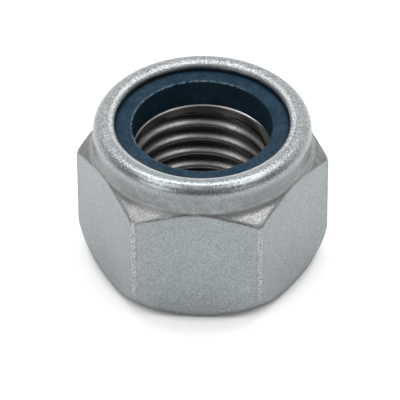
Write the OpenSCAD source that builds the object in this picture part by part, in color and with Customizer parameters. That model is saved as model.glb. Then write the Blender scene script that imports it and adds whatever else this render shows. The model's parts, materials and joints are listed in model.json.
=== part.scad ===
// Hexagon lock nut with a nylon locking ring held under the rolled lip of a round collar.
// Millimetres, +Z along the thread, origin in the middle of the bearing face.

/* [Thread] */
// Nominal diameter of the internal thread
thread_d = 24; // [22:0.5:24.5]
// Pitch of the thread
thread_pitch = 3; // [1.5:0.5:3.5]
// Mouth of the countersink in the bearing face
mouth_d = 25.4; // [25:0.1:29]
// Slope of that countersink from the bearing face, in degrees
mouth_slope = 30; // [20:1:50]
// Lead-in where the thread opens into the ledge under the ring, at 45 degrees
ledge_chamfer = 1; // [0.1:0.05:1.2]

/* [Hexagon] */
// Width across the flats
across_flats = 36; // [35.9:0.1:41]
// Height at which the line of the corner chamfer meets the collar
shoulder_h = 21.6; // [17:0.1:23.5]
// Slope of the chamfer on top of the corners, in degrees
chamfer_slope = 35; // [20:1:40]
// Depth that the rounding takes off each sharp upright edge
edge_cut = 0.155; // [0.05:0.005:0.165]
// Radius of that rounding
edge_round = 1.2; // [1.1:0.1:3]
// Diameter of the flat bearing face
bearing_d = 35; // [31:0.1:35.5]
// Height of the curved cut under each corner
corner_lift = 5.6; // [2:0.1:7]
// Radius of that cut, seen from the side
corner_sweep = 7.5; // [6:0.1:30]

/* [Collar] */
// Outside diameter of the collar
collar_d = 35.6; // [34.5:0.1:35.9]
// Whole height of the nut, to the crest of the lip
nut_h = 27.2; // [26.7:0.1:31]
// Radius of the roll that turns the collar's wall over into the lip
lip_roll = 2.05; // [1.7:0.05:2.3]
// How high up the wall the hollow round the collar's foot begins, above the shoulder
foot_rise = 0.8; // [0.5:0.05:1.2]
// How far that hollow reaches out over the chamfer
foot_reach = 0.8; // [0.5:0.05:1.2]
// Radius of the hollow, a little flatter than one that would run out smoothly
foot_round = 2.2; // [2:0.1:4]
// Diameter of the opening inside the lip
lip_opening_d = 28.4; // [28:0.1:29.2]

/* [Nylon ring] */
// Bore of the ring
ring_bore_d = 22.8; // [21:0.1:23.6]
// Outside diameter of the ring
ring_d = 30.8; // [30.2:0.1:31.2]
// Height of the ring
ring_h = 4.9; // [4.5:0.1:6.5]
// Radius of the ring's upper shoulder, which the lip is rolled over
ring_shoulder = 1.7; // [1.3:0.1:2.2]
// Rounding at the mouth of the ring's bore
ring_edge = 0.4; // [0.2:0.05:0.8]
// How far the lip's crest stands above the ring
lip_stand = 1.35; // [1:0.05:1.6]
// Clearance between the ring and the steel round it
ring_gap = 0.05; // [0.02:0.01:0.1]

/* [Hidden] */
$fn = 120;

// Height of a metric thread from crest to crest, as a share of the pitch, on both sides
THREAD_DEPTH = 1.0825;
// Overlap that lets a cut pass clean through a surface
CUT = 1;
// How far the steel with the hollow in it runs on past both ends of the hollow
FOOT_LAP = 0.2;

minor_r = (thread_d - THREAD_DEPTH * thread_pitch) / 2;
collar_r = collar_d / 2;
bearing_r = bearing_d / 2;
flat_r = across_flats / 2;
// Sharp corners of the hexagon, the furthest reach of its rounded edges, and the middle of the rounding
sharp_r = flat_r / cos(30);
corner_r = sharp_r - edge_cut;
edge_middle_r = corner_r - edge_round;
// Middle of the roll in the lip's half section
roll_r = collar_r - lip_roll;
roll_z = nut_h - lip_roll;
// The ring stands on a ledge in the steel
ledge_z = nut_h - lip_stand - ring_h;
ring_r = ring_d / 2;
ring_shoulder_r = ring_r - ring_shoulder;
ring_shoulder_z = ring_h - ring_shoulder;
mouth_depth = (mouth_d / 2 - minor_r) * tan(mouth_slope);

// Centre of a circle of the given radius through two points, on the left of the way from a to b
function arc_centre(a, b, radius) =
    let (
        way = b - a,
        side = [-way[1], way[0]] / norm(way),
        rise = sqrt(pow(radius, 2) - pow(norm(way) / 2, 2))
    )
    (a + b) / 2 + side * rise;

// Hexagon whose sharp corners are rounded off by a cut in each
module rounded_hexagon() {
    difference() {
        circle(r = sharp_r, $fn = 6);
        for (turn = [0:60:300])
            rotate(turn)
                difference() {
                    translate([edge_middle_r + edge_round * cos(30), -edge_round])
                        square([2 * edge_round, 2 * edge_round]);
                    translate([edge_middle_r, 0])
                        circle(r = edge_round);
                }
    }
}

// Half section of the steel that hollows out round the collar's foot, from its wall to the chamfer
module foot_section() {
    out_r = collar_r + foot_reach;
    out_z = shoulder_h - foot_reach * tan(chamfer_slope);
    difference() {
        translate([collar_r - CUT, shoulder_h - CUT])
            square([CUT + foot_reach + FOOT_LAP, CUT + foot_rise + FOOT_LAP]);
        translate(arc_centre([collar_r, shoulder_h + foot_rise], [out_r, out_z], foot_round))
            circle(r = foot_round);
    }
}

// Half section that trims the hexagon: foot and chamfer above the corners, curved cut below them
module hexagon_trim() {
    reach = corner_r + CUT;
    sweep_middle = arc_centre([bearing_r, 0], [corner_r, corner_lift], corner_sweep);
    foot_section();
    intersection() {
        polygon([
            [0, 0],
            [reach, 0],
            [reach, shoulder_h - (reach - collar_r) * tan(chamfer_slope)],
            [collar_r, shoulder_h],
            [0, shoulder_h]
        ]);
        union() {
            square([bearing_r, shoulder_h]);
            translate([0, sweep_middle[1]])
                square([reach, shoulder_h]);
            translate(sweep_middle)
                circle(r = corner_sweep);
        }
    }
}

// Half section of the collar: a straight wall that ends in the roll of the lip
module collar_section() {
    // The foot is buried in the hexagon, above the cuts under its corners
    translate([0, corner_lift])
        square([collar_r, roll_z - corner_lift]);
    translate([roll_r, roll_z])
        circle(r = lip_roll);
}

// Half section of everything hollow: pocket, opening in the lip, thread bore and both its mouths
module hollow_section() {
    square([minor_r, nut_h + CUT]);
    polygon([
        [0, 0],
        [mouth_d / 2, 0],
        [minor_r, mouth_depth],
        [0, mouth_depth]
    ]);
    polygon([
        [0, ledge_z - ledge_chamfer],
        [minor_r, ledge_z - ledge_chamfer],
        [minor_r + ledge_chamfer, ledge_z],
        [0, ledge_z]
    ]);
    translate([0, ledge_z]) {
        square([ring_r + ring_gap, ring_shoulder_z]);
        square([ring_shoulder_r, ring_h + ring_gap]);
        translate([ring_shoulder_r, ring_shoulder_z])
            circle(r = ring_shoulder + ring_gap);
        square([lip_opening_d / 2, nut_h]);
    }
}

// Half section of the nylon ring, standing on z = 0
module ring_section() {
    bore_r = ring_bore_d / 2;
    difference() {
        union() {
            square([ring_r, ring_shoulder_z]);
            square([ring_shoulder_r, ring_h]);
            translate([ring_shoulder_r, ring_shoulder_z])
                circle(r = ring_shoulder);
        }
        square([bore_r, ring_h + CUT]);
        translate([bore_r + ring_edge, ring_h - ring_edge])
            difference() {
                translate([-ring_edge - CUT, 0])
                    square([ring_edge + CUT, ring_edge + CUT]);
                circle(r = ring_edge);
            }
    }
}

// The steel nut: hexagon, collar and rolled lip in one piece, bored through
module nut_body() {
    color([0.66, 0.68, 0.69])
        difference() {
            union() {
                intersection() {
                    linear_extrude(shoulder_h + foot_rise + CUT)
                        rounded_hexagon();
                    rotate_extrude()
                        hexagon_trim();
                }
                rotate_extrude()
                    collar_section();
            }
            rotate_extrude()
                hollow_section();
        }
}

// The ring that grips the bolt, standing on the ledge inside the collar
module nylon_insert() {
    color([0.13, 0.21, 0.30])
        translate([0, 0, ledge_z])
            rotate_extrude()
                ring_section();
}

nut_body();
nylon_insert();
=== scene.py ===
"""Looks of a hexagon lock nut: zinc-plated steel body with a cut thread, and a blue nylon ring."""
import json
import math

import bmesh
import bpy
import numpy as np
from mathutils import Matrix, Vector


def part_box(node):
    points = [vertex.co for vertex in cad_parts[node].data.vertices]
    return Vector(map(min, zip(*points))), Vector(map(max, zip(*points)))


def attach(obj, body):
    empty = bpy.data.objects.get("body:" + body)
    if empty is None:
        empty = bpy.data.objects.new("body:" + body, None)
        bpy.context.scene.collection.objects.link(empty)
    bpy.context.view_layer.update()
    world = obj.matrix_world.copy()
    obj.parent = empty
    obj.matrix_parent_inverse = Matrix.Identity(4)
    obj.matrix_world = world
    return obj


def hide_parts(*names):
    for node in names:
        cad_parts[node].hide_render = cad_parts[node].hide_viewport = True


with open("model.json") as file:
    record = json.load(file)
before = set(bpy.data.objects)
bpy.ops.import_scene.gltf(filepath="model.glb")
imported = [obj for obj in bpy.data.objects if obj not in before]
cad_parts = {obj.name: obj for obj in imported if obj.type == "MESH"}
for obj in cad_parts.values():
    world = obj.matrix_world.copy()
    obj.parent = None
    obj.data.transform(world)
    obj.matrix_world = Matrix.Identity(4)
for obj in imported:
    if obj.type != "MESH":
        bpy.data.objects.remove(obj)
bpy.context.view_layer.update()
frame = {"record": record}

# Sizes of the nut in millimetres: what the frame holds is read from it
MM = 0.001
mounts = {m["name"]: m for m in frame["record"]["mounts"]}
body_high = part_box("nut_body")[1] / MM
ring_low, ring_high = (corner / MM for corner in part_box("nylon_insert"))
NUT_H = body_high.z
FLAT_R = body_high.y
CORNER_R = body_high.x
LEDGE_Z = ring_low.z
RING_TOP_Z = ring_high.z
RING_R = ring_high.x
MINOR_R = mounts["thread"]["dims"]["r_mm"]
RING_BORE_R = mounts["locking_bore"]["dims"]["r_mm"]

# The other sizes of the solids, as in their source
EDGE_ROUND = 1.2
BEARING_R = 17.5
CORNER_LIFT = 5.6
CORNER_SWEEP = 7.5
SHOULDER_H = 21.6
CHAMFER_SLOPE = math.radians(35)
COLLAR_R = 17.8
FOOT_RISE = 0.8
FOOT_REACH = 0.8
FOOT_ROUND = 2.2
LIP_ROLL = 2.05
LIP_OPENING_R = 14.2
RING_SHOULDER = 1.7
RING_GAP = 0.05
RING_EDGE = 0.4
MOUTH_R = 12.7
MOUTH_SLOPE = math.radians(30)
LEDGE_CHAMFER = 1.0

# The thread: right-hand, metric, with its crests a little rounded
PITCH = 3.0
MAJOR_R = 12.0
CREST_HALF = PITCH / 8
ROOT_HALF = PITCH / 16
THREAD_SOFTNESS = 0.30
SOFTNESS_SAMPLES = 9
CREST_AT_BACK = 17.2
ROWS_PER_PITCH = 24

# How far each edge of the steel and of the ring's foot is eased
EDGE_EASE = 0.20
TOP_EASE = 0.55
CORNER_EASE = 0.90
BEARING_EASE = 0.25
CREASE_EASE = 0.15
LIP_EASE = 0.30
TIP_EASE = 0.06
POCKET_EASE = 0.10
RING_FOOT_EASE = 0.25
EASE_STEPS = 5
# The share of a stretch that one easing may use up, and how far the softer corners reach, in edge widths
EASE_ROOM = 0.45
CORNER_SPREAD = 1.5

# Angles from one corner of the hexagon to the next, and from a corner to the middle of a flat
HEX_TURN = math.pi / 3
HEX_HALF = HEX_TURN / 2

# The rounding of an upright edge, and the angle off the corner at which it meets the flats
CORNER_MIDDLE_R = CORNER_R - EDGE_ROUND
FLAT_AWAY = FLAT_R - CORNER_MIDDLE_R * math.cos(HEX_HALF)
EDGE_TURN = HEX_HALF - math.acos(FLAT_AWAY / EDGE_ROUND)
EDGE_HALF = math.atan2(EDGE_ROUND * math.sin(EDGE_TURN), CORNER_MIDDLE_R + EDGE_ROUND * math.cos(EDGE_TURN))

# Half sections of the steel: how many on half an edge, where they lie beside it, how many on half a flat
ACROSS_EDGE = 5
BESIDE_EDGE = np.radians([0.15, 0.4, 0.8, 1.4, 2.2])
ACROSS_FLAT = 20
# Half sections of the nylon ring
RING_SECTIONS = 240

# Points along each stretch of a half section
BEARING_POINTS = 4
SWEEP_POINTS = 10
FLAT_POINTS = 12
HOLLOW_POINTS = 24
SHOULDER_POINTS = 16
WALL_POINTS = 6
LIP_POINTS = 30
TIP_POINTS = 5
UNDER_LIP_POINTS = 8
POCKET_POINTS = 3
LEDGE_POINTS = 4
RING_FLAT_POINTS = 6
RING_SHOULDER_POINTS = 14
RING_EDGE_POINTS = 8
RING_BORE_POINTS = 16

# The slots of the two materials on the steel
PLATED = 0
TAPPED = 1

# Points that count as one, in metres on a mesh and in millimetres on a path, and the bend that is an edge
DOUBLED = 2e-7
COLLAPSED = 1e-7
CLOSE = 1e-6
SHARP_ANGLE = math.radians(45)


def angles():
    """Angles round the nut, closer together across the six upright edges."""
    near = EDGE_HALF + BESIDE_EDGE
    wide = np.linspace(near[-1], HEX_HALF, ACROSS_FLAT)[1:]
    right = np.concatenate([np.linspace(0, EDGE_HALF, ACROSS_EDGE), near, wide])
    one = np.concatenate([-right[1:-1][::-1], right])
    return np.sort(np.concatenate([one + HEX_TURN * k for k in range(6)]))


THETA = angles()


def off_corner(theta):
    """Angle to the nearest corner of the hexagon."""
    return np.abs((theta + HEX_HALF) % HEX_TURN - HEX_HALF)


def hexagon_radius(theta):
    """Distance from the axis to the hexagon with rounded corners."""
    away = off_corner(theta)
    flat = FLAT_R / np.cos(HEX_HALF - away)
    inside = np.maximum(EDGE_ROUND ** 2 - (CORNER_MIDDLE_R * np.sin(away)) ** 2, 0)
    rounded = CORNER_MIDDLE_R * np.cos(away) + np.sqrt(inside)
    return np.where(away < EDGE_HALF, rounded, flat)


def arc(centre, radius, start, end, count):
    turn = np.linspace(start, end, count)
    return np.stack([centre[0] + radius * np.cos(turn), centre[1] + radius * np.sin(turn)], 1)


def line(a, b, count):
    share = np.linspace(0, 1, count)[:, None]
    return np.array(a) * (1 - share) + np.array(b) * share


def lengths(path):
    """Distance along a path up to each of its points."""
    return np.concatenate([[0], np.cumsum(np.linalg.norm(np.diff(path, axis=0), axis=1))])


def placed(path, distances):
    """Points on a path at these distances along it."""
    along = lengths(path)
    return np.stack([np.interp(distances, along, path[:, k]) for k in (0, 1)], 1)


def eased(path_in, path_out, reach):
    """Where a rounding over a given reach leaves one stretch, its bend, and where it joins the next."""
    corner = path_in[-1]
    before = corner - path_in[-2]
    after = path_out[1] - corner
    shorter = min(np.linalg.norm(path[-1] - path[0]) for path in (path_in, path_out))
    cut = min(reach, EASE_ROOM * shorter)
    start = corner - before / np.linalg.norm(before) * cut
    stop = corner + after / np.linalg.norm(after) * cut
    t = np.linspace(0, 1, EASE_STEPS + 1)[:, None]
    bend = start * (1 - t) ** 2 + corner * 2 * t * (1 - t) + stop * t ** 2
    return start, bend, stop


def respaced(stretch, begin, end):
    """The stretch trimmed to run from begin to end, with evenly spaced points."""
    whole = lengths(stretch)[-1]
    lead = np.linalg.norm(begin - stretch[0])
    tail = np.linalg.norm(stretch[-1] - end)
    points = placed(stretch, np.linspace(lead, max(whole - tail, lead), len(stretch)))
    points[0] = begin
    points[-1] = end
    return points


def joined(stretches, eases):
    """One path from several stretches, each with its own count of points, its corners eased."""
    out = []
    begin = stretches[0][0]
    for stretch, following, ease in zip(stretches, stretches[1:] + [None], eases + [0]):
        if ease > 0:
            start, bend, stop = eased(stretch, following, ease)
            out.append(respaced(stretch, begin, start))
            out.append(bend[1:-1])
            begin = stop
        else:
            whole = respaced(stretch, begin, stretch[-1])
            out.append(whole if following is None else whole[:-1])
            begin = stretch[-1]
    return np.concatenate(out)


def arc_centre(a, b, radius):
    """Centre of a circle through two points, on the left of the way from a to b."""
    a, b = np.array(a), np.array(b)
    way = b - a
    side = np.array([-way[1], way[0]]) / np.linalg.norm(way)
    return (a + b) / 2 + side * math.sqrt(radius ** 2 - np.dot(way, way) / 4)


def direction(centre, point):
    return math.atan2(point[1] - centre[1], point[0] - centre[0])


def chamfer_z(radius):
    return SHOULDER_H - (radius - COLLAR_R) * math.tan(CHAMFER_SLOPE)


# Middles of the arcs in the half sections: cut under a corner, roll of the lip, shoulder of the ring
SWEEP_MIDDLE = arc_centre((BEARING_R, 0), (CORNER_R, CORNER_LIFT), CORNER_SWEEP)
LIP_MIDDLE = (COLLAR_R - LIP_ROLL, NUT_H - LIP_ROLL)
RING_MIDDLE = (RING_R - RING_SHOULDER, RING_TOP_Z - RING_SHOULDER)


def shoulder_path(radius):
    """Chamfer and hollow foot, from an upright face at this radius in to the collar's wall."""
    out = (COLLAR_R + FOOT_REACH, chamfer_z(COLLAR_R + FOOT_REACH))
    wall = (COLLAR_R, SHOULDER_H + FOOT_RISE)
    middle = arc_centre(wall, out, FOOT_ROUND)
    first = direction(middle, out)
    turn = (first - direction(middle, wall)) % (2 * math.pi)
    hollow = arc(middle, FOOT_ROUND, first, first - turn, HOLLOW_POINTS)
    beyond = CORNER_R + 1
    whole = np.concatenate([[(beyond, chamfer_z(beyond))], hollow])
    start_z = np.interp(radius, whole[::-1, 0], whole[::-1, 1])
    path = np.concatenate([[(radius, start_z)], whole[whole[:, 0] < radius - CLOSE]])
    return placed(path, np.linspace(0, lengths(path)[-1], SHOULDER_POINTS))


def outer_section(radius, thread_top_r, corner_share):
    """Half section of the steel at one angle, from the bore's mouth round to the ledge under the ring."""
    low_z = SWEEP_MIDDLE[1] - math.sqrt(CORNER_SWEEP ** 2 - (radius - SWEEP_MIDDLE[0]) ** 2)
    sweep_start = direction(SWEEP_MIDDLE, (BEARING_R, 0))
    sweep_end = direction(SWEEP_MIDDLE, (radius, low_z))
    shoulder = shoulder_path(radius)
    top_ease = TOP_EASE + (CORNER_EASE - TOP_EASE) * corner_share
    lip_end = math.acos((LIP_OPENING_R - LIP_MIDDLE[0]) / LIP_ROLL)
    lip = arc(LIP_MIDDLE, LIP_ROLL, 0, lip_end, LIP_POINTS)
    under = RING_SHOULDER + RING_GAP
    tip = math.acos((LIP_OPENING_R - RING_MIDDLE[0]) / under)
    tip_z = RING_MIDDLE[1] + under * math.sin(tip)
    pocket_r = RING_R + RING_GAP
    return joined(
        [
            line((MOUTH_R, 0), (BEARING_R, 0), BEARING_POINTS),
            arc(SWEEP_MIDDLE, CORNER_SWEEP, sweep_start, sweep_end, SWEEP_POINTS),
            line((radius, low_z), shoulder[0], FLAT_POINTS),
            shoulder,
            line(shoulder[-1], (COLLAR_R, LIP_MIDDLE[1]), WALL_POINTS),
            lip,
            line(lip[-1], (LIP_OPENING_R, tip_z), TIP_POINTS),
            arc(RING_MIDDLE, under, tip, 0, UNDER_LIP_POINTS),
            line((pocket_r, RING_MIDDLE[1]), (pocket_r, LEDGE_Z), POCKET_POINTS),
            line((pocket_r, LEDGE_Z), (thread_top_r, LEDGE_Z), LEDGE_POINTS),
        ],
        [BEARING_EASE, EDGE_EASE, top_ease, CREASE_EASE, 0, LIP_EASE, TIP_EASE, 0, POCKET_EASE],
    )


def thread_radius(z, theta):
    """Distance from the axis to the threaded wall, with the countersink below and the chamfer above."""
    phase = z - PITCH * (theta - math.pi / 2) / (2 * math.pi) - CREST_AT_BACK
    total = 0
    for shift in np.linspace(-1, 1, SOFTNESS_SAMPLES) * THREAD_SOFTNESS:
        off_crest = np.abs((phase + shift + PITCH / 2) % PITCH - PITCH / 2)
        share = np.clip((off_crest - CREST_HALF) / (PITCH / 2 - ROOT_HALF - CREST_HALF), 0, 1)
        total = total + MINOR_R + (MAJOR_R - MINOR_R) * share
    thread = total / SOFTNESS_SAMPLES
    lower = MOUTH_R - z / math.tan(MOUTH_SLOPE)
    upper = MINOR_R + LEDGE_CHAMFER - (LEDGE_Z - z)
    return np.maximum(np.maximum(thread, lower), upper)


def turned(sections, around):
    """Points of half sections, one at each angle round the axis, in metres."""
    x = sections[..., 0] * np.cos(around)[:, None]
    y = sections[..., 0] * np.sin(around)[:, None]
    return np.stack([x, y, sections[..., 1]], 2).reshape(-1, 3) * MM


def thread_sections():
    """Rows of the thread at each angle, every row one step of the helix above the last."""
    step = PITCH / ROWS_PER_PITCH
    first = -PITCH - step
    rows = int(math.ceil((LEDGE_Z - first) / step)) + 2
    turn = THETA[:, None] / (2 * math.pi)
    z = np.clip(first + step * np.arange(rows)[None, :] + PITCH * (turn - turn.min()), 0, LEDGE_Z)
    return np.stack([thread_radius(z, THETA[:, None]), z], 2)


def steel_mesh():
    """The whole steel nut as one closed mesh: outer sections joined to helical rows of thread."""
    thread_top = thread_radius(np.full(len(THETA), LEDGE_Z), THETA)
    corner_share = np.exp(-(off_corner(THETA) / (CORNER_SPREAD * EDGE_HALF)) ** 2)
    each_angle = zip(hexagon_radius(THETA), thread_top, corner_share)
    outer = np.array([outer_section(*values) for values in each_angle])
    inner = thread_sections()
    both = np.concatenate([outer, inner], 1)
    width = both.shape[1]
    outer_count = outer.shape[1]
    last_row = inner.shape[1] - 1
    faces = []
    slots = []
    for i in range(len(THETA)):
        k = (i + 1) % len(THETA)
        for j in range(outer_count - 1):
            faces.append((i * width + j, k * width + j, k * width + j + 1, i * width + j + 1))
            slots.append(PLATED)
        # Where the last angle meets the first, the helix is one pitch higher
        offset = ROWS_PER_PITCH if k == 0 else 0
        for j in range(last_row):
            here = i * width + outer_count + j
            low = k * width + outer_count + min(j + offset, last_row)
            high = k * width + outer_count + min(j + 1 + offset, last_row)
            faces.append((here, low, high, here + 1))
            slots.append(TAPPED)
    return turned(both, THETA), faces, slots


def nylon_mesh():
    """The ring, turned from its half section."""
    mouth = (RING_BORE_R + RING_EDGE, RING_TOP_Z - RING_EDGE)
    section = joined(
        [
            line((RING_BORE_R, LEDGE_Z), (RING_R, LEDGE_Z), RING_FLAT_POINTS),
            line((RING_R, LEDGE_Z), (RING_R, RING_MIDDLE[1]), RING_FLAT_POINTS),
            arc(RING_MIDDLE, RING_SHOULDER, 0, math.pi / 2, RING_SHOULDER_POINTS),
            line((RING_MIDDLE[0], RING_TOP_Z), (mouth[0], RING_TOP_Z), RING_FLAT_POINTS),
            arc(mouth, RING_EDGE, math.pi / 2, math.pi, RING_EDGE_POINTS),
            line((RING_BORE_R, mouth[1]), (RING_BORE_R, LEDGE_Z), RING_BORE_POINTS),
        ],
        [RING_FOOT_EASE, 0, 0, 0, 0],
    )[:-1]
    width = len(section)
    faces = []
    for i in range(RING_SECTIONS):
        k = (i + 1) % RING_SECTIONS
        for j in range(width):
            m = (j + 1) % width
            faces.append((i * width + j, k * width + j, k * width + m, i * width + m))
    around = np.linspace(0, 2 * math.pi, RING_SECTIONS, endpoint=False)
    sections = np.broadcast_to(section, (RING_SECTIONS, width, 2))
    return turned(sections, around), faces, [0] * len(faces)


def mesh_object(name, verts, faces, slots, materials):
    """A clean closed object: doubled points merged, faces turned outward, smooth between its real edges."""
    mesh = bpy.data.meshes.new(name)
    mesh.from_pydata([tuple(v) for v in verts], [], faces)
    mesh.polygons.foreach_set("material_index", slots)
    bm = bmesh.new()
    bm.from_mesh(mesh)
    bmesh.ops.remove_doubles(bm, verts=bm.verts, dist=DOUBLED)
    bmesh.ops.dissolve_degenerate(bm, edges=bm.edges, dist=COLLAPSED)
    bmesh.ops.recalc_face_normals(bm, faces=bm.faces)
    bm.to_mesh(mesh)
    bm.free()
    mesh.polygons.foreach_set("use_smooth", [True] * len(mesh.polygons))
    mesh.set_sharp_from_angle(angle=SHARP_ANGLE)
    obj = bpy.data.objects.new(name, mesh)
    bpy.context.scene.collection.objects.link(obj)
    for material in materials:
        mesh.materials.append(material)
    modifier = obj.modifiers.new("even_normals", "WEIGHTED_NORMAL")
    modifier.mode = "FACE_AREA_WITH_ANGLE"
    modifier.keep_sharp = True
    return obj


# Sockets of a Mix node: its share, and what it mixes, as numbers and as colours
MIX_SHARE = 0
MIX_NUMBERS = (2, 3)
MIX_COLOURS = (6, 7)


class Nodes:
    """Short calls for building a node tree."""

    def __init__(self, tree):
        self.tree = tree

    def add(self, kind, **settings):
        node = self.tree.nodes.new(kind)
        for key, value in settings.items():
            setattr(node, key, value)
        return node

    def link(self, a, b):
        self.tree.links.new(a, b)

    def set(self, socket, value):
        if isinstance(value, bpy.types.NodeSocket):
            self.link(value, socket)
        elif isinstance(value, tuple):
            socket.default_value = (*value, 1)
        else:
            socket.default_value = value

    def ramp(self, value, stops):
        """Colours or greys, each at its place along the value."""
        node = self.add("ShaderNodeValToRGB")
        elements = node.color_ramp.elements
        while len(elements) < len(stops):
            elements.new(0.5)
        for element, (place, colour) in zip(elements, stops):
            element.position = place
            element.color = (*colour, 1) if isinstance(colour, tuple) else (colour, colour, colour, 1)
        self.link(value, node.inputs["Fac"])
        return node.outputs["Color"]

    def maths(self, operation, a, b=None):
        node = self.add("ShaderNodeMath", operation=operation)
        self.set(node.inputs[0], a)
        if b is not None:
            self.set(node.inputs[1], b)
        return node.outputs["Value"]

    def product(self, *values):
        total = values[0]
        for value in values[1:]:
            total = self.maths("MULTIPLY", total, value)
        return total

    def plus(self, a, b):
        return self.maths("ADD", a, b)

    def minus(self, a, b):
        return self.maths("SUBTRACT", a, b)

    def length(self, a, b):
        return self.maths("SQRT", self.plus(self.product(a, a), self.product(b, b)))

    def blend(self, *weighted):
        """Sum of values, each with its own weight."""
        total = None
        for value, weight in weighted:
            share = self.maths("MULTIPLY", value, weight)
            total = share if total is None else self.plus(total, share)
        return total

    def ranged(self, value, ends, results):
        """The first result up to the first end, the second from the second end on, smooth between."""
        node = self.add("ShaderNodeMapRange", interpolation_type="SMOOTHSTEP")
        self.link(value, node.inputs["Value"])
        for name, number in zip(("From Min", "From Max", "To Min", "To Max"), (*ends, *results)):
            node.inputs[name].default_value = number
        return node.outputs["Result"]

    def rise(self, value, low, high):
        """0 below low, 1 above high, smooth between."""
        return self.ranged(value, (low, high), (0, 1))

    def fall(self, value, low, high):
        """1 below low, 0 above high, smooth between."""
        return self.minus(1.0, self.rise(value, low, high))

    def between(self, value, begin, end):
        """1 on a stretch that comes in over the first pair of values and goes out over the second."""
        return self.product(self.rise(value, *begin), self.fall(value, *end))

    def mix(self, share, a, b, kind="RGBA"):
        """From a to b as the share goes from 0 to 1: colours, or numbers where the kind is FLOAT."""
        node = self.add("ShaderNodeMix", data_type=kind)
        sockets = MIX_COLOURS if kind == "RGBA" else MIX_NUMBERS
        self.set(node.inputs[MIX_SHARE], share)
        self.set(node.inputs[sockets[0]], a)
        self.set(node.inputs[sockets[1]], b)
        return next(socket for socket in node.outputs if socket.enabled)

    def layered(self, colour, layers):
        """A colour with others laid over it in turn, each by its mask and its share."""
        for mask, share, over in layers:
            colour = self.mix(self.maths("MULTIPLY", mask, share), colour, over)
        return colour

    def vector(self, x, y, z):
        node = self.add("ShaderNodeCombineXYZ")
        for axis, value in zip("XYZ", (x, y, z)):
            self.link(value, node.inputs[axis])
        return node.outputs[0]

    def parts(self, vector):
        """X, Y and Z of a vector."""
        node = self.add("ShaderNodeSeparateXYZ")
        self.link(vector, node.inputs[0])
        return [node.outputs[axis] for axis in "XYZ"]


# Materials: places are in millimetres on the nut, noises and shares run from 0 to 1, colours are linear
# A pair of values is a fade, from where it begins to where it ends, and two pairs are the fades in and out
class Material(Nodes):
    """A material with its shader, and what depends on places on the piece."""

    def __init__(self, name):
        self.material = bpy.data.materials.new(name)
        self.material.use_nodes = True
        super().__init__(self.material.node_tree)
        self.shader = self.tree.nodes["Principled BSDF"]
        self.place = self.add("ShaderNodeTexCoord").outputs["Object"]

    def noise(self, feature, detail, roughness, vector=None):
        """Noise with features of this many millimetres, or of so many units of a vector of its own."""
        unit = MM if vector is None else 1
        node = self.add("ShaderNodeTexNoise")
        node.inputs["Scale"].default_value = 1 / (feature * unit)
        node.inputs["Detail"].default_value = detail
        node.inputs["Roughness"].default_value = roughness
        self.link(self.place if vector is None else vector, node.inputs["Vector"])
        return node.outputs["Fac"]

    def bump(self, height, strength, depth_mm, normal=None):
        node = self.add("ShaderNodeBump")
        self.set(node.inputs["Strength"], strength)
        node.inputs["Distance"].default_value = depth_mm * MM
        self.link(height, node.inputs["Height"])
        if normal is not None:
            self.link(normal, node.inputs["Normal"])
        return node.outputs["Normal"]

    def in_mm(self):
        """X, Y and Z on the piece in millimetres, and the distance from its axis."""
        x, y, z = (self.maths("DIVIDE", part, MM) for part in self.parts(self.place))
        return x, y, z, self.length(x, y)


# Zinc plating: its noises by the size of their features, and how ragged they leave the borders
GRAIN = 0.26
FLECK = 0.45
PATCH = 1.8
CLOUD = 9.0
SWELL = 3.2
RAGGEDNESS = 0.5
EDGE_RAGGEDNESS = 0.8
CONE_RAGGEDNESS = 0.5

# The worn strip along an upright edge, by distance from the edge, and the dark line on either side of it
STRIP_ENDS = (0.34, 0.66)
STRIP_LINE = ((0.44, 0.56), (0.62, 0.84))
NEAR_CORNER = (CORNER_R - 0.45, CORNER_R - 0.30)

# The chamfers and the hollow at the collar's foot, by distance under the chamfers' cone and from the axis
CHAMFER_BELOW = (0.06, 0.22)
CHAMFER_OUT = (COLLAR_R + 0.35, COLLAR_R + 0.75)
FOOT_ABOVE = (-0.20, -0.05)
FOOT_OUT = ((COLLAR_R + 0.03, COLLAR_R + 0.20), (COLLAR_R + 0.45, COLLAR_R + 0.75))
FOOT_END_Z = chamfer_z(COLLAR_R + 1)
FOOT_UP = (FOOT_END_Z - 0.20, FOOT_END_Z)

# The dark line along the top of each flat, which bends up over the hollow by most of the hollow's depth
SEAM_BEND = 0.92 * FOOT_RISE / FOOT_REACH ** 2
SEAM_BELOW = ((0.00, 0.12), (0.20, 0.38))
SEAM_DEPTH = (0.12, 0.30)

# Painted shade along the cuts under the corners, near the floor
LOW_EDGE_WIDTH = (0.10, 0.60)
LOW_EDGE_UP = (0.9, 2.4)

# The collar and its lip, by height
COLLAR_UP = (SHOULDER_H + 0.4, SHOULDER_H + 1.6)
LIP_UP = (NUT_H - 2.8, NUT_H - 1.2)
WALL_TOP = (NUT_H - 3.2, NUT_H - 1.6)
LIP_SHADE_UP = ((NUT_H - 3.6, NUT_H - 2.3), (NUT_H - 1.6, NUT_H - 1.0))
LOW_COLLAR_SHADE_UP = ((SHOULDER_H + 0.2, SHOULDER_H + 0.6), (SHOULDER_H + 0.9, SHOULDER_H + 2.4))

# The lip, by distance from the axis
RIM_BAND_OUT = ((LIP_OPENING_R + 0.30, LIP_OPENING_R + 0.50), (LIP_OPENING_R + 0.95, LIP_OPENING_R + 1.15))
RIM_LINE_OUT = (LIP_OPENING_R + 0.70, LIP_OPENING_R + 1.10)
TUCKED_OUT = (LIP_OPENING_R + 0.25, LIP_OPENING_R + 0.75)
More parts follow.
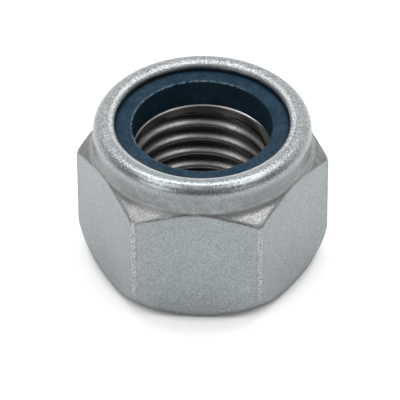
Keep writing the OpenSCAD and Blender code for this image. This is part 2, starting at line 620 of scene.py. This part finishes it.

# Painted highlights, glints and shade that differ round the nut, by X to the right and Y to the back
OFF_FRONT_Y = (-14.5, -6.0)
RIM_BAND_Y = ((-11.0, -5.0), (6.0, 12.0))
RIM_LINE_Y = (-12.0, -5.0)
TUCKED_Y = (0.0, 9.0)
SIDE_X = (6.0, 13.0)
MIDDLE_X = ((-7.5, -2.5), (3.0, 8.5))
MIDDLE_Y = (-14.5, -10.0)
FAR_CORNER_X = (14.0, 17.5)
NEAR_RIGHT_X = ((5.0, 8.0), (11.0, 14.0))
NEAR_RIGHT_Y = (-12.0, -9.0)

# Where a noise breaks up a look, by the noise's value
PATCHY = (0.30, 0.60)
CLOUDY = (0.35, 0.60)
WALL_PATCHES = (0.18, 0.70)
LOW_COLLAR_SHADE_PATCHES = (0.34, 0.58)
CHAMFER_SPECKLE = (0.46, 0.60)
RIM_SPECKLE = (0.38, 0.54)
RIM_LINE_FLECKS = (0.22, 0.55)
LINE_FLECKS = (0.42, 0.57)

# Relief of the plating: how strong it is, and how deep in millimetres
FINE_STRENGTH = 0.25
FINE_DEPTH = 0.20
COARSE_STRENGTH = 0.25
COARSE_DEPTH = 0.22
ROUGHNESS = 0.30

# Colours of the plating from dark to pale, each at its place on a noise
PLAIN_TONES = [(0.36, (0.203, 0.228, 0.237)), (0.50, (0.279, 0.306, 0.316)), (0.64, (0.369, 0.394, 0.403))]
# Lighter copy of the plain tones for the lip: painted light
LIP_LIT_TONES = [(0.36, (0.235, 0.260, 0.269)), (0.50, (0.322, 0.350, 0.360)), (0.64, (0.424, 0.450, 0.459))]
# Speckle with painted glints for the lip away from its front
LIP_GLINT_TONES = [(0.40, (0.205, 0.215, 0.220)), (0.50, (0.340, 0.355, 0.360)), (0.60, (0.580, 0.590, 0.590))]
# Darker, mottled copy of the plain tones for the collar's wall: painted shade
WALL_SHADE_TONES = [(0.37, (0.128, 0.140, 0.145)), (0.50, (0.178, 0.194, 0.200)), (0.63, (0.240, 0.261, 0.269))]
# Pale tones: wear on the upright edges, and with the next, painted light on the chamfers
WORN_AND_LIT_TONES = [(0.36, (0.182, 0.184, 0.182)), (0.48, (0.312, 0.317, 0.314)), (0.62, (0.525, 0.532, 0.527))]
CHAMFER_LIT_TONES = [(0.34, (0.262, 0.266, 0.262)), (0.64, (0.440, 0.446, 0.440))]
SIDE_SHADE = (0.135, 0.147, 0.152)
LIP_SHADE = (0.140, 0.152, 0.156)
CORNER_SHADE = (0.135, 0.143, 0.145)
# Painted glints on the chamfer at the near right
CHAMFER_GLINTS = (0.740, 0.745, 0.740)
# Painted highlights on the lip: specks on its inner roll at the sides, and a pale line along the front of
# its opening
RIM_HIGHLIGHT_SPECKS = (0.700, 0.710, 0.710)
RIM_HIGHLIGHT_LINE = (0.700, 0.715, 0.720)
TUCKED_SHADE = (0.060, 0.064, 0.066)
# Brownish painted shade in the hollow at the collar's foot and low on the collar
FOOT_SHADE = (0.215, 0.205, 0.195)
LOW_COLLAR_SHADE = (0.190, 0.183, 0.176)
SEAM_DARK = (0.115, 0.110, 0.100)
LOW_EDGE_SHADE = (0.105, 0.108, 0.108)

# Smears drawn round the collar: their size, how far they are stretched, and how they lean
SMEAR = 1.1
SMEAR_STRETCH = COLLAR_R * 0.35
SMEAR_LEAN = 0.8


class Plating(Material):
    """The plated steel: noises, and masks that say where each of its looks belongs."""

    def __init__(self, name):
        super().__init__(name)
        self.x, self.y, self.z, self.radius = self.in_mm()
        self.grain = self.noise(GRAIN, 2.0, 0.6)
        self.fleck = self.noise(FLECK, 2.0, 0.7)
        self.patches = self.noise(PATCH, 3.0, 0.6)
        self.clouds = self.noise(CLOUD, 2.0, 0.5)
        self.speckle = self.blend((self.grain, 0.65), (self.fleck, 0.35))
        self.ragged = self.maths("MULTIPLY", self.minus(self.fleck, 0.5), RAGGEDNESS)
        self.ragged_radius = self.plus(self.radius, self.product(self.ragged, EDGE_RAGGEDNESS))
        self.under_cone = self.below_cone()
        self.on_collar = self.rise(self.z, *COLLAR_UP)
        self.on_lip = self.rise(self.z, *LIP_UP)
        self.off_front = self.rise(self.y, *OFF_FRONT_Y)
        self.sideways = self.maths("ABSOLUTE", self.x)
        self.patchy = self.rise(self.patches, *PATCHY)

    def below_cone(self):
        """Distance straight down from the cone of the chamfers, a little ragged."""
        drop = self.maths("MULTIPLY", self.minus(self.radius, COLLAR_R), math.tan(CHAMFER_SLOPE))
        below = self.minus(self.minus(SHOULDER_H, drop), self.z)
        return self.plus(below, self.product(self.ragged, CONE_RAGGEDNESS))

    def from_edge(self):
        """Distance to the nearest of the three planes through opposite upright edges."""
        nearest = None
        for turn in (0, HEX_TURN, 2 * HEX_TURN):
            across = self.maths("ABSOLUTE", self.blend((self.x, math.sin(turn)), (self.y, -math.cos(turn))))
            nearest = across if nearest is None else self.maths("MINIMUM", nearest, across)
        return nearest

    def from_flat(self):
        """Distance inwards from the nearest of the six flats."""
        furthest = None
        for turn in (HEX_HALF, HEX_HALF + HEX_TURN, HEX_HALF + 2 * HEX_TURN):
            out = self.maths("ABSOLUTE", self.blend((self.x, math.cos(turn)), (self.y, math.sin(turn))))
            furthest = out if furthest is None else self.maths("MAXIMUM", furthest, out)
        return self.minus(FLAT_R, furthest)

    def edge_strips(self):
        """The worn strips along the upright edges, and the dark lines beside them."""
        aside = self.plus(self.from_edge(), self.product(self.ragged, EDGE_RAGGEDNESS))
        near_corner = self.rise(self.radius, *NEAR_CORNER)
        strip = self.product(self.fall(aside, *STRIP_ENDS), near_corner)
        return strip, self.product(self.between(aside, *STRIP_LINE), near_corner)

    def chamfers(self):
        return self.product(self.fall(self.under_cone, *CHAMFER_BELOW), self.rise(self.radius, *CHAMFER_OUT))

    def foot(self):
        """The hollow round the collar's foot, where a brownish shade is painted."""
        out = self.between(self.radius, *FOOT_OUT)
        return self.product(out, self.rise(self.z, *FOOT_UP), self.fall(self.under_cone, *FOOT_ABOVE))

    def flat_seams(self):
        """The line along the top of each flat, under the chamfers and the hollow."""
        hollow = self.maths("MAXIMUM", self.minus(COLLAR_R + FOOT_REACH, self.radius), 0.0)
        bend = self.maths("MULTIPLY", self.product(hollow, hollow), SEAM_BEND)
        below = self.plus(self.under_cone, bend)
        return self.product(self.between(below, *SEAM_BELOW), self.fall(self.from_flat(), *SEAM_DEPTH))

    def low_edge_shading(self):
        """Painted shade along the cuts under the corners, near the floor."""
        away = self.length(self.minus(self.radius, SWEEP_MIDDLE[0]), self.minus(self.z, SWEEP_MIDDLE[1]))
        inside = self.plus(self.minus(CORNER_SWEEP, away), self.ragged)
        return self.product(self.fall(inside, *LOW_EDGE_WIDTH), self.fall(self.z, *LOW_EDGE_UP))

    def rim_highlight_band(self):
        """Painted highlight: bright specks on the lip's inner roll at the sides."""
        out = self.between(self.ragged_radius, *RIM_BAND_OUT)
        at_sides = self.between(self.y, *RIM_BAND_Y)
        return self.product(out, self.on_lip, at_sides, self.rise(self.speckle, *RIM_SPECKLE))

    def rim_line(self):
        """A painted highlight: the pale, less metallic line along the front of the lip's opening."""
        inner = self.fall(self.ragged_radius, *RIM_LINE_OUT)
        return self.product(inner, self.on_lip, self.fall(self.y, *RIM_LINE_Y))

    def tucked(self):
        """The lip's inner roll at the back, where it turns down to the ring."""
        return self.product(self.fall(self.radius, *TUCKED_OUT), self.on_lip, self.rise(self.y, *TUCKED_Y))

    def lip_shade(self):
        """Darker patches under the lip, most of all in the middle of the front."""
        cloudy = self.rise(self.clouds, *CLOUDY)
        uneven = self.blend((self.patchy, 0.5), (cloudy, 0.5))
        in_middle = self.product(self.between(self.x, *MIDDLE_X), self.fall(self.y, *MIDDLE_Y))
        placed_share = self.blend((in_middle, 0.60), (self.on_collar, 0.15))
        return self.product(self.between(self.z, *LIP_SHADE_UP), uneven, placed_share)

    def smears(self):
        """Marks drawn out round the collar."""
        angle = self.maths("ARCTAN2", self.y, self.x)
        across = self.product(self.maths("COSINE", angle), SMEAR_STRETCH)
        along = self.product(self.maths("SINE", angle), SMEAR_STRETCH)
        leaning = self.plus(self.z, self.product(self.radius, SMEAR_LEAN))
        drawn = self.noise(SMEAR, 3.0, 0.6, self.vector(across, along, leaning))
        return self.product(drawn, self.on_collar)


def collar_colour(n):
    """Plain plating, and on the collar a lip painted lighter with painted glints, a wall darkened by painted
    shade, and shade under the lip.
    """
    tone = n.blend((n.grain, 0.60), (n.fleck, 0.15), (n.patches, 0.15), (n.clouds, 0.10))
    on_wall = n.product(n.on_collar, n.fall(n.z, *WALL_TOP))
    return n.layered(n.ramp(tone, PLAIN_TONES), [
        (n.on_lip, 1.00, n.ramp(tone, LIP_LIT_TONES)),
        (n.product(n.on_lip, n.off_front), 0.45, n.ramp(n.speckle, LIP_GLINT_TONES)),
        (n.product(on_wall, n.rise(n.patches, *WALL_PATCHES)), 0.85, n.ramp(tone, WALL_SHADE_TONES)),
        (n.product(on_wall, n.rise(n.sideways, *SIDE_X)), 0.40, SIDE_SHADE),
        (n.lip_shade(), 1.00, LIP_SHADE),
    ])


def worn_and_lit_colour(n, colour, chamfer, pale):
    """Pale wear on the upright edges and painted light on the chamfers, with painted shade at the far
    corners and painted glints at the near right.
    """
    # Painted shade on the chamfers at the far corners, in patches
    corner_shade_patches = n.blend((n.patchy, 0.5), (chamfer, 0.3))
    far_corner = n.product(chamfer, n.rise(n.sideways, *FAR_CORNER_X), corner_shade_patches)
    # Painted glints on the chamfer at the near right
    near_right = n.product(chamfer, n.between(n.x, *NEAR_RIGHT_X), n.fall(n.y, *NEAR_RIGHT_Y))
    specks = n.rise(n.blend((n.patches, 0.6), (n.fleck, 0.4)), *CHAMFER_SPECKLE)
    return n.layered(colour, [
        (pale, 1.00, n.ramp(n.speckle, WORN_AND_LIT_TONES)),
        (chamfer, 0.50, n.ramp(n.patches, CHAMFER_LIT_TONES)),
        (far_corner, 1.00, CORNER_SHADE),
        (n.product(near_right, specks), 0.18, CHAMFER_GLINTS),
    ])


def lined_colour(n, colour, strip_line, rim_line):
    """The lip's painted highlights and painted shade where it tucks in, painted brownish shade round the
    collar's foot, dark lines along seams and painted shade along the low edges.
    """
    # Brownish painted shade in patches, low on the collar
    low_collar_shade_mask = n.product(n.between(n.z, *LOW_COLLAR_SHADE_UP), n.rise(n.patches, *LOW_COLLAR_SHADE_PATCHES))
    beside_strips = n.maths("MULTIPLY", strip_line, 0.4)
    lines = n.maths("MAXIMUM", beside_strips, n.maths("MULTIPLY", n.flat_seams(), 0.7))
    return n.layered(colour, [
        (n.rim_highlight_band(), 0.85, RIM_HIGHLIGHT_SPECKS),
        (n.product(rim_line, n.rise(n.fleck, *RIM_LINE_FLECKS)), 0.90, RIM_HIGHLIGHT_LINE),
        (n.tucked(), 0.70, TUCKED_SHADE),
        (n.foot(), 0.65, FOOT_SHADE),
        (low_collar_shade_mask, 0.60, LOW_COLLAR_SHADE),
        (n.product(lines, n.rise(n.fleck, *LINE_FLECKS)), 0.80, SEAM_DARK),
        (n.low_edge_shading(), 0.60, LOW_EDGE_SHADE),
    ])


def plating_relief(n, pale, smears):
    """Fine grain over a slow swell, stronger on the collar's back and on worn edges."""
    swell = n.noise(SWELL, 1.0, 0.5)
    coarse = n.bump(n.blend((swell, 0.4), (smears, 0.8)), COARSE_STRENGTH, COARSE_DEPTH)
    on_collar = n.product(n.on_collar, n.blend((n.off_front, 0.25), (n.on_collar, 0.05)))
    stronger = n.maths("MAXIMUM", on_collar, n.maths("MULTIPLY", pale, 0.22))
    strength = n.plus(stronger, FINE_STRENGTH)
    return n.bump(n.blend((n.grain, 0.8), (n.fleck, 0.2)), strength, FINE_DEPTH, coarse)


def zinc_material():
    """Zinc plating: grey and finely grained, painted bright on the lip, worn pale along edges, painted pale
    on the chamfers, with painted shade and highlights.
    """
    n = Plating("zinc_plated_steel")
    strip, strip_line = n.edge_strips()
    chamfer = n.chamfers()
    pale = n.maths("MAXIMUM", n.maths("MULTIPLY", strip, 0.95), chamfer)
    rim_line = n.rim_line()
    smears = n.smears()
    colour = worn_and_lit_colour(n, collar_colour(n), chamfer, pale)
    n.link(lined_colour(n, colour, strip_line, rim_line), n.shader.inputs["Base Color"])
    # Painted highlight: the line along the lip's front opening is made less metallic, so it shows pale
    n.link(n.minus(1.0, n.maths("MULTIPLY", rim_line, 0.90)), n.shader.inputs["Metallic"])
    rough = n.blend((n.patches, 0.10), (pale, 0.02), (n.on_collar, -0.20), (smears, 0.10))
    n.link(n.plus(rough, ROUGHNESS), n.shader.inputs["Roughness"])
    n.link(plating_relief(n, pale, smears), n.shader.inputs["Normal"])
    return n.material


# Cut steel of the thread: streaks that run along the helix, by their size and how far they are drawn out
STREAK = 0.6
HELIX_STRETCH = 7.0
STREAK_LENGTH = 1.1
CUT_GRAIN = 0.38
CUT_RELIEF = 0.3
CUT_DEPTH = 0.04
CUT_ROUGHNESS = [(0.3, 0.36), (0.7, 0.27)]
CUT_TONES = [(0.34, (0.260, 0.258, 0.254)), (0.52, (0.480, 0.476, 0.470)), (0.70, (0.740, 0.735, 0.726))]
# Painted shade: in the roots, under and over the crests, on the right, and towards the top right
ROOT_SHADE = (0.060, 0.059, 0.057)
UNDER_CREST_SHADE = (0.0200, 0.0195, 0.0190)
OVER_CREST_SHADE = (0.075, 0.074, 0.072)
RIGHT_SHADE = (0.085, 0.084, 0.082)
TOP_RIGHT_SHADE = (0.045, 0.044, 0.042)
# Painted shade on the chamfer at the thread's top, under the ring
LEAD_IN_SHADE_TONES = [(0.38, (0.014, 0.014, 0.013)), (0.62, (0.060, 0.058, 0.056))]
# Painted highlight along the top edge of the thread, brightest on the right
TOP_EDGE_HIGHLIGHT = (0.380, 0.380, 0.372)
TOP_EDGE_RIGHT_HIGHLIGHT = (0.800, 0.800, 0.790)

# Where they lie: height less distance from the axis is the same all over the chamfer at the thread's top
LEAD_IN_CONE = LEDGE_Z - LEDGE_CHAMFER - MINOR_R
LEAD_IN = (LEAD_IN_CONE - 0.12, LEAD_IN_CONE - 0.04)
ROOT_OUT = (MINOR_R + 0.3, MAJOR_R - 0.1)
TOP_EDGE_UP = (LEDGE_Z - 0.24, LEDGE_Z - 0.12)
TOP_EDGE_X = (4.5, 9.0)
RIGHT_X = (3.5, 9.5)
TOP_RIGHT_UP = (LEDGE_Z - 1.5, LEDGE_Z - 0.8)
TOP_RIGHT_X = (3.0, 7.0)
# By the sine of the turn along the pitch, which is 0 on a crest, positive above it and negative below
UNDER_CREST = (-0.26, 0.22)
OVER_CREST = (-0.25, 0.95)


def thread_material():
    """Cut steel with marks that run along the helix, made darker than the plating by painted shade in the
    roots, beside the crests, on the right, towards the top right and on the lead-in, with a painted
    highlight along the top edge.
    """
    n = Material("tapped_steel")
    x, y, z, radius = n.in_mm()
    angle = n.maths("ARCTAN2", y, x)
    around = n.minus(n.maths("MULTIPLY", z, 2 * math.pi / PITCH), angle)
    across = n.maths("MULTIPLY", n.maths("COSINE", around), HELIX_STRETCH)
    upward = n.maths("MULTIPLY", n.maths("SINE", around), HELIX_STRETCH)
    along = n.maths("MULTIPLY", n.maths("SINE", angle), STREAK_LENGTH)
    streaks = n.noise(STREAK, 4.0, 0.6, n.vector(across, upward, along))
    grain = n.noise(CUT_GRAIN, 2.0, 0.6)
    off_crest = n.maths("SINE", n.plus(around, math.pi / 2 - 2 * math.pi * CREST_AT_BACK / PITCH))
    # Painted shade towards the top right of the thread
    top_right = n.product(n.rise(z, *TOP_RIGHT_UP), n.rise(x, *TOP_RIGHT_X))
    colour = n.layered(n.ramp(n.blend((streaks, 0.6), (grain, 0.4)), CUT_TONES), [
        (n.rise(radius, *ROOT_OUT), 1.00, ROOT_SHADE),
        (n.fall(off_crest, *UNDER_CREST), 0.95, UNDER_CREST_SHADE),
        (n.rise(off_crest, *OVER_CREST), 0.50, OVER_CREST_SHADE),
        (n.rise(x, *RIGHT_X), 0.55, RIGHT_SHADE),
        (top_right, 0.85, TOP_RIGHT_SHADE),
        (n.rise(n.minus(z, radius), *LEAD_IN), 1.00, n.ramp(streaks, LEAD_IN_SHADE_TONES)),
        (n.rise(z, *TOP_EDGE_UP), 1.00, n.mix(n.rise(x, *TOP_EDGE_X), TOP_EDGE_HIGHLIGHT, TOP_EDGE_RIGHT_HIGHLIGHT)),
    ])
    n.link(colour, n.shader.inputs["Base Color"])
    n.shader.inputs["Metallic"].default_value = 1.0
    n.link(n.ramp(grain, CUT_ROUGHNESS), n.shader.inputs["Roughness"])
    n.link(n.bump(streaks, CUT_RELIEF, CUT_DEPTH), n.shader.inputs["Normal"])
    return n.material


# Nylon: a fine mottle, a painted highlight round the mouth of the bore, and painted shade under the lip and
# in the bore
MOTTLE = 0.5
NYLON_SPECK = 0.28
NYLON_CLOUD = 3.5
NYLON_TONES = [(0.40, (0.0035, 0.019, 0.035)), (0.50, (0.008, 0.0295, 0.052)), (0.61, (0.022, 0.054, 0.084))]
# Painted highlight round the mouth of the bore
NYLON_RIM_HIGHLIGHT = (0.120, 0.170, 0.210)
# Painted shade on the nylon under the lip
NYLON_UNDER_LIP_SHADE = (0.002, 0.012, 0.024)
# Painted shade in the bore
NYLON_BORE_SHADE = (0.005, 0.009, 0.014)
NYLON_RAGGEDNESS = 0.4
NYLON_RELIEF = 0.25
NYLON_DEPTH = 0.03
NYLON_ROUGHNESS = [(0.3, 0.58), (0.7, 0.46)]
NYLON_SPECULAR = 0.13
NYLON_RIM_OUT = (RING_BORE_R + 0.18, RING_BORE_R + 0.42)
NYLON_RIM_UP = (RING_TOP_Z - 0.30, RING_TOP_Z - 0.12)
NYLON_RIM_X = (3.0, 9.0)
NYLON_RIM_MOTTLE = (0.38, 0.60)
UNDER_LIP_OUT = (LIP_OPENING_R - 0.8, LIP_OPENING_R)
IN_BORE_OUT = (RING_BORE_R + 0.02, RING_BORE_R + 0.08)


def nylon_material():
    """Dark blue nylon with a faint mottle, a painted highlight along the rounded mouth of the bore, and
    painted shade under the lip and in the bore.
    """
    n = Material("blue_nylon")
    x, _, z, radius = n.in_mm()
    fine = n.noise(MOTTLE, 3.0, 0.6)
    clouds = n.noise(NYLON_CLOUD, 2.0, 0.5)
    speck = n.noise(NYLON_SPECK, 2.0, 0.6)
    tone = n.blend((fine, 0.3), (speck, 0.4), (clouds, 0.3))
    ragged = n.maths("MULTIPLY", n.minus(fine, 0.5), NYLON_RAGGEDNESS)
    rim = n.product(n.fall(n.plus(radius, ragged), *NYLON_RIM_OUT), n.rise(z, *NYLON_RIM_UP))
    rim = n.product(rim, n.rise(fine, *NYLON_RIM_MOTTLE), n.fall(x, *NYLON_RIM_X))
    colour = n.layered(n.ramp(tone, NYLON_TONES), [
        (rim, 1.00, NYLON_RIM_HIGHLIGHT),
        (n.rise(radius, *UNDER_LIP_OUT), 0.55, NYLON_UNDER_LIP_SHADE),
        (n.fall(radius, *IN_BORE_OUT), 0.45, NYLON_BORE_SHADE),
    ])
    n.link(colour, n.shader.inputs["Base Color"])
    n.link(n.ramp(fine, NYLON_ROUGHNESS), n.shader.inputs["Roughness"])
    n.shader.inputs["Specular IOR Level"].default_value = NYLON_SPECULAR
    n.link(n.bump(fine, NYLON_RELIEF, NYLON_DEPTH), n.shader.inputs["Normal"])
    return n.material


steel = mesh_object("steel_body", *steel_mesh(), [zinc_material(), thread_material()])
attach(steel, "root")
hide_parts("nut_body")

ring = mesh_object("nylon_ring", *nylon_mesh(), [nylon_material()])
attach(ring, "root")
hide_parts("nylon_insert")

# Camera, found from points of the photograph: angles, distance in metres, and focal length in pixels
IMAGE = 400
CAMERA_ELEVATION = math.radians(40.46)
CAMERA_AZIMUTH = math.radians(3.31)
CAMERA_ROLL = math.radians(-0.31)
FOCAL_PX = 4121.3
CAMERA_DISTANCE = 678.3 * MM
AIM_HEIGHT = 12.0 * MM
AIM_RIGHT = -0.42 * MM
AIM_UP = -1.61 * MM
SENSOR_MM = 36
NEAREST = 0.01
FURTHEST = 20


def make_camera():
    e, a, roll = CAMERA_ELEVATION, CAMERA_AZIMUTH, CAMERA_ROLL
    back = Vector((math.sin(a) * math.cos(e), -math.cos(a) * math.cos(e), math.sin(e)))
    level = Vector((math.cos(a), math.sin(a), 0))
    upright = back.cross(level)
    right = level * math.cos(roll) + upright * math.sin(roll)
    up = upright * math.cos(roll) - level * math.sin(roll)
    aim = Vector((0, 0, AIM_HEIGHT)) + right * AIM_RIGHT + up * AIM_UP
    data = bpy.data.cameras.new("camera")
    data.sensor_width = SENSOR_MM
    data.lens = SENSOR_MM * FOCAL_PX / IMAGE
    data.clip_start = NEAREST
    data.clip_end = FURTHEST
    camera = bpy.data.objects.new("camera", data)
    placing = Matrix((right, up, back)).transposed().to_4x4()
    placing.translation = aim + back * CAMERA_DISTANCE
    camera.matrix_world = placing
    bpy.context.scene.collection.objects.link(camera)
    bpy.context.scene.camera = camera


# Floor: its size in metres, its tone, and what is added where the camera or polished metal sees it
FLOOR_HALF = 3.0
FLOOR_DROP = 0.02 * MM
FLOOR_TONE = 0.92
FLOOR_ROUGHNESS = 0.9
FLOOR_SHOWN_PALER = 0.245
FLOOR_MIRRORED_PALER = 0.18
# The camera's part of that comes in over these distances from the nut's axis, so the floor right by the nut
# is left darker as a painted contact shadow
PAINTED_SHADOW_OUT = (17.8, 19.6)


def floor_material():
    n = Material("pale_floor")
    n.shader.inputs["Base Color"].default_value = (FLOOR_TONE, FLOOR_TONE, FLOOR_TONE, 1)
    n.shader.inputs["Roughness"].default_value = FLOOR_ROUGHNESS
    n.shader.inputs["Specular IOR Level"].default_value = 0.0
    n.shader.inputs["Emission Color"].default_value = (1, 1, 1, 1)
    radius = n.in_mm()[3]
    rays = n.add("ShaderNodeLightPath").outputs
    # Left out near the nut: a painted contact shadow
    shown = n.product(rays["Is Camera Ray"], n.rise(radius, *PAINTED_SHADOW_OUT), FLOOR_SHOWN_PALER)
    mirrored = n.product(rays["Is Glossy Ray"], FLOOR_MIRRORED_PALER)
    n.link(n.maths("MAXIMUM", shown, mirrored), n.shader.inputs["Emission Strength"])
    return n.material


def make_floor():
    mesh = bpy.data.meshes.new("floor")
    corners = [(-1, -1), (1, -1), (1, 1), (-1, 1)]
    mesh.from_pydata([(FLOOR_HALF * x, FLOOR_HALF * y, -FLOOR_DROP) for x, y in corners], [], [(0, 1, 2, 3)])
    mesh.materials.append(floor_material())
    floor = bpy.data.objects.new("floor", mesh)
    bpy.context.scene.collection.objects.link(floor)


# World: dark in front, less so overhead and low at the sides, and pale behind, by the direction's X, Y and Z
DARK_LOW = 0.26
DARK_HIGH = 0.62
DARK_Z = (0.45, 0.98)
SURROUND = 0.90
BEHIND = 1.15
BEHIND_Y = (0.35, 0.80)
FRONT_Y = (-0.10, 0.35)
ASIDE_PALER = 0.16
ASIDE_X = (0.22, 0.65)
ASIDE_Z = (0.30, 0.65)


def make_world():
    """Surroundings that light the nut and lie mirrored in it, and plain white where they are seen."""
    world = bpy.data.worlds.new("studio")
    bpy.context.scene.world = world
    world.use_nodes = True
    n = Nodes(world.node_tree)
    x, y, z = n.parts(n.add("ShaderNodeTexCoord").outputs["Generated"])
    aside = n.ranged(n.maths("ABSOLUTE", x), ASIDE_X, (0, ASIDE_PALER))
    low = n.ranged(z, ASIDE_Z, (1, 0))
    dark = n.plus(n.product(aside, low), n.ranged(z, DARK_Z, (DARK_LOW, DARK_HIGH)))
    pale = n.ranged(y, BEHIND_Y, (SURROUND, BEHIND))
    around = n.mix(n.ranged(y, FRONT_Y, (1, 0)), pale, dark, "FLOAT")
    seen = n.add("ShaderNodeLightPath").outputs["Is Camera Ray"]
    background = world.node_tree.nodes["Background"]
    background.inputs["Color"].default_value = (1, 1, 1, 1)
    n.link(n.mix(seen, around, 1.0, "FLOAT"), background.inputs["Strength"])


# Soft lamps that face the nut: name, place and size in metres, power in watts, and if metal mirrors them
LAMPS = [
    ("overhead", (0.00, 0.14, 0.60), (0.80, 0.18), 1.50, True),
    ("left", (-0.28, -0.19, 0.50), (0.22, 0.28), 0.45, True),
    ("right", (0.30, -0.11, 0.52), (0.26, 0.22), 0.46, True),
    ("front left", (-0.33, -0.36, 0.20), (0.24, 0.18), 0.28, True),
    ("front right", (0.33, -0.36, 0.23), (0.15, 0.13), 0.08, True),
    ("fill", (0.00, -0.45, 0.45), (0.60, 0.40), 0.20, False),
]


def make_lamp(name, place, size, power, mirrored):
    data = bpy.data.lights.new(name, "AREA")
    data.shape = "RECTANGLE"
    data.size, data.size_y = size
    data.energy = power
    lamp = bpy.data.objects.new(name, data)
    lamp.location = place
    lamp.rotation_euler = (-Vector(place)).to_track_quat("-Z", "Y").to_euler()
    lamp.visible_glossy = mirrored
    bpy.context.scene.collection.objects.link(lamp)


make_camera()
make_floor()
make_world()
for lamp in LAMPS:
    make_lamp(*lamp)

bpy.context.scene.view_settings.view_transform = "Standard"
